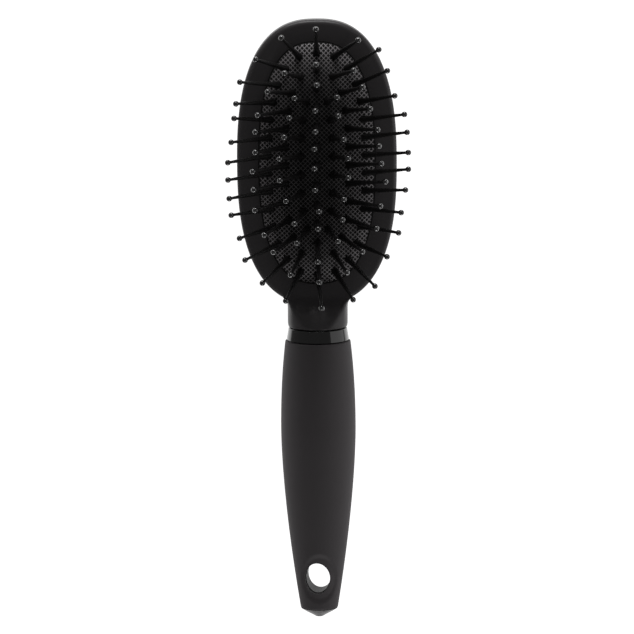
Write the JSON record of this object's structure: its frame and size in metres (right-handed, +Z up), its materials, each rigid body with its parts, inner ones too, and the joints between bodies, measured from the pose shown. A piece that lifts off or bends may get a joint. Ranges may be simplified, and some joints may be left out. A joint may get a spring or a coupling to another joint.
{
  "type": "cushion hair brush",
  "caption": "Oval hair brush with ball-tipped pins in a domed air cushion, a round neck with a glossy collar, and a soft-touch handle with a hanging hole.",
  "frame": {"origin": "under the middle of the brush, on the surface that it lies on with its back down", "axes": "+X across the brush to the right when the pins face the viewer and the handle points down, +Y from the handle to the top of the head, +Z up, out through the pins"},
  "size_m": [0.07, 0.24, 0.0481],
  "materials": {
    "body_plastic": "black satin moulding, fine spark texture",
    "cushion_rubber": "black rubber with a raised fabric lattice",
    "pin_nylon": "black nylon with glossy ball tips",
    "collar_gloss": "polished black",
    "grip_soft_touch": "matt soft-touch coat",
    "core_plastic": "plain black moulding",
    "plug_plastic": "satin black"
  },
  "bodies": {
    "root": {"head_body": "body_plastic", "pad_ring": "core_plastic", "collar_ring": "collar_gloss", "handle_core": "core_plastic", "grip_sleeve": "grip_soft_touch", "end_plug": "plug_plastic"},
    "cushion": {"cushion_pad": "cushion_rubber"},
    "pins_outer_01": {"pins_outer_01": "pin_nylon"},
    "pins_outer_02": {"pins_outer_02": "pin_nylon"},
    "pins_outer_03": {"pins_outer_03": "pin_nylon"},
    "pins_outer_04": {"pins_outer_04": "pin_nylon"},
    "pins_outer_05": {"pins_outer_05": "pin_nylon"},
    "pins_outer_06": {"pins_outer_06": "pin_nylon"},
    "pins_outer_07": {"pins_outer_07": "pin_nylon"},
    "pins_outer_08": {"pins_outer_08": "pin_nylon"},
    "pins_outer_09": {"pins_outer_09": "pin_nylon"},
    "pins_outer_10": {"pins_outer_10": "pin_nylon"},
    "pins_middle_01": {"pins_middle_01": "pin_nylon"},
    "pins_middle_02": {"pins_middle_02": "pin_nylon"},
    "pins_middle_03": {"pins_middle_03": "pin_nylon"},
    "pins_middle_04": {"pins_middle_04": "pin_nylon"},
    "pins_middle_05": {"pins_middle_05": "pin_nylon"},
    "pins_middle_06": {"pins_middle_06": "pin_nylon"},
    "pins_middle_07": {"pins_middle_07": "pin_nylon"},
    "pins_middle_08": {"pins_middle_08": "pin_nylon"},
    "pins_inner_01": {"pins_inner_01": "pin_nylon"},
    "pins_inner_02": {"pins_inner_02": "pin_nylon"},
    "pins_inner_03": {"pins_inner_03": "pin_nylon"},
    "pins_inner_04": {"pins_inner_04": "pin_nylon"},
    "pins_inner_05": {"pins_inner_05": "pin_nylon"},
    "pins_inner_06": {"pins_inner_06": "pin_nylon"},
    "pins_centre_row": {"pins_centre_row": "pin_nylon"}
  },
  "joints": [
    {"name": "cushion_press", "type": "slide", "parent": "root", "child": "cushion", "axis": [0, 0, 1], "range_m": [-0.0025, 0], "stiffness_N_per_m": 1500, "deforming": ["cushion_pad"]},
    {"name": "tilt_outer_01", "type": "hinge", "parent": "cushion", "child": "pins_outer_01", "pos_m": [0, 0.1073, 0.02065], "axis": [1, 0, 0], "range_deg": [-10, 10], "stiffness_Nm_per_rad": 0.02},
    {"name": "tilt_outer_02", "type": "hinge", "parent": "cushion", "child": "pins_outer_02", "pos_m": [0.01499, 0.09484, 0.02065], "axis": [0.3591, -0.9333, 0], "range_deg": [-10, 10], "stiffness_Nm_per_rad": 0.02},
    {"name": "tilt_outer_03", "type": "hinge", "parent": "cushion", "child": "pins_outer_03", "pos_m": [0.01858, 0.07414, 0.02065], "axis": [0.0554, -0.9985, 0], "range_deg": [-10, 10], "stiffness_Nm_per_rad": 0.02},
    {"name": "tilt_outer_04", "type": "hinge", "parent": "cushion", "child": "pins_outer_04", "pos_m": [0.01858, 0.05306, 0.02065], "axis": [-0.0554, -0.9985, 0], "range_deg": [-10, 10], "stiffness_Nm_per_rad": 0.02},
    {"name": "tilt_outer_05", "type": "hinge", "parent": "cushion", "child": "pins_outer_05", "pos_m": [0.01499, 0.03236, 0.02065], "axis": [-0.3591, -0.9333, 0], "range_deg": [-10, 10], "stiffness_Nm_per_rad": 0.02},
    {"name": "tilt_outer_06", "type": "hinge", "parent": "cushion", "child": "pins_outer_06", "pos_m": [0, 0.0199, 0.02065], "axis": [-1, 0, 0], "range_deg": [-10, 10], "stiffness_Nm_per_rad": 0.02},
    {"name": "tilt_outer_07", "type": "hinge", "parent": "cushion", "child": "pins_outer_07", "pos_m": [-0.01499, 0.03236, 0.02065], "axis": [-0.3591, 0.9333, 0], "range_deg": [-10, 10], "stiffness_Nm_per_rad": 0.02},
    {"name": "tilt_outer_08", "type": "hinge", "parent": "cushion", "child": "pins_outer_08", "pos_m": [-0.01858, 0.05306, 0.02065], "axis": [-0.0554, 0.9985, 0], "range_deg": [-10, 10], "stiffness_Nm_per_rad": 0.02},
    {"name": "tilt_outer_09", "type": "hinge", "parent": "cushion", "child": "pins_outer_09", "pos_m": [-0.01858, 0.07414, 0.02065], "axis": [0.0554, 0.9985, 0], "range_deg": [-10, 10], "stiffness_Nm_per_rad": 0.02},
    {"name": "tilt_outer_10", "type": "hinge", "parent": "cushion", "child": "pins_outer_10", "pos_m": [-0.01499, 0.09484, 0.02065], "axis": [0.3591, 0.9333, 0], "range_deg": [-10, 10], "stiffness_Nm_per_rad": 0.02},
    {"name": "tilt_middle_01", "type": "hinge", "parent": "cushion", "child": "pins_middle_01", "pos_m": [0, 0.10103, 0.02398], "axis": [1, 0, 0], "range_deg": [-10, 10], "stiffness_Nm_per_rad": 0.02},
    {"name": "tilt_middle_02", "type": "hinge", "parent": "cushion", "child": "pins_middle_02", "pos_m": [0.01119, 0.08497, 0.02398], "axis": [0.1789, -0.9839, 0], "range_deg": [-10, 10], "stiffness_Nm_per_rad": 0.02},
    {"name": "tilt_middle_03", "type": "hinge", "parent": "cushion", "child": "pins_middle_03", "pos_m": [0.01253, 0.0636, 0.02398], "axis": [0, -1, 0], "range_deg": [-10, 10], "stiffness_Nm_per_rad": 0.02},
    {"name": "tilt_middle_04", "type": "hinge", "parent": "cushion", "child": "pins_middle_04", "pos_m": [0.01119, 0.04223, 0.02398], "axis": [-0.1789, -0.9839, 0], "range_deg": [-10, 10], "stiffness_Nm_per_rad": 0.02},
    {"name": "tilt_middle_05", "type": "hinge", "parent": "cushion", "child": "pins_middle_05", "pos_m": [0, 0.02617, 0.02398], "axis": [-1, 0, 0], "range_deg": [-10, 10], "stiffness_Nm_per_rad": 0.02},
    {"name": "tilt_middle_06", "type": "hinge", "parent": "cushion", "child": "pins_middle_06", "pos_m": [-0.01119, 0.04223, 0.02398], "axis": [-0.1789, 0.9839, 0], "range_deg": [-10, 10], "stiffness_Nm_per_rad": 0.02},
    {"name": "tilt_middle_07", "type": "hinge", "parent": "cushion", "child": "pins_middle_07", "pos_m": [-0.01253, 0.0636, 0.02398], "axis": [0, 1, 0], "range_deg": [-10, 10], "stiffness_Nm_per_rad": 0.02},
    {"name": "tilt_middle_08", "type": "hinge", "parent": "cushion", "child": "pins_middle_08", "pos_m": [-0.01119, 0.08497, 0.02398], "axis": [0.1789, 0.9839, 0], "range_deg": [-10, 10], "stiffness_Nm_per_rad": 0.02},
    {"name": "tilt_inner_01", "type": "hinge", "parent": "cushion", "child": "pins_inner_01", "pos_m": [0, 0.09387, 0.02562], "axis": [1, 0, 0], "range_deg": [-10, 10], "stiffness_Nm_per_rad": 0.02},
    {"name": "tilt_inner_02", "type": "hinge", "parent": "cushion", "child": "pins_inner_02", "pos_m": [0.00607, 0.07442, 0.02562], "axis": [0.0512, -0.9987, 0], "range_deg": [-10, 10], "stiffness_Nm_per_rad": 0.02},
    {"name": "tilt_inner_03", "type": "hinge", "parent": "cushion", "child": "pins_inner_03", "pos_m": [0.00607, 0.05278, 0.02562], "axis": [-0.0512, -0.9987, 0], "range_deg": [-10, 10], "stiffness_Nm_per_rad": 0.02},
    {"name": "tilt_inner_04", "type": "hinge", "parent": "cushion", "child": "pins_inner_04", "pos_m": [0, 0.03333, 0.02562], "axis": [-1, 0, 0], "range_deg": [-10, 10], "stiffness_Nm_per_rad": 0.02},
    {"name": "tilt_inner_05", "type": "hinge", "parent": "cushion", "child": "pins_inner_05", "pos_m": [-0.00607, 0.05278, 0.02562], "axis": [-0.0512, 0.9987, 0], "range_deg": [-10, 10], "stiffness_Nm_per_rad": 0.02},
    {"name": "tilt_inner_06", "type": "hinge", "parent": "cushion", "child": "pins_inner_06", "pos_m": [-0.00607, 0.07442, 0.02562], "axis": [0.0512, 0.9987, 0], "range_deg": [-10, 10], "stiffness_Nm_per_rad": 0.02},
    {"name": "tilt_centre_row", "type": "hinge", "parent": "cushion", "child": "pins_centre_row", "pos_m": [0, 0.0636, 0.026], "axis": [0, 1, 0], "range_deg": [-10, 10], "stiffness_Nm_per_rad": 0.02}
  ]
}
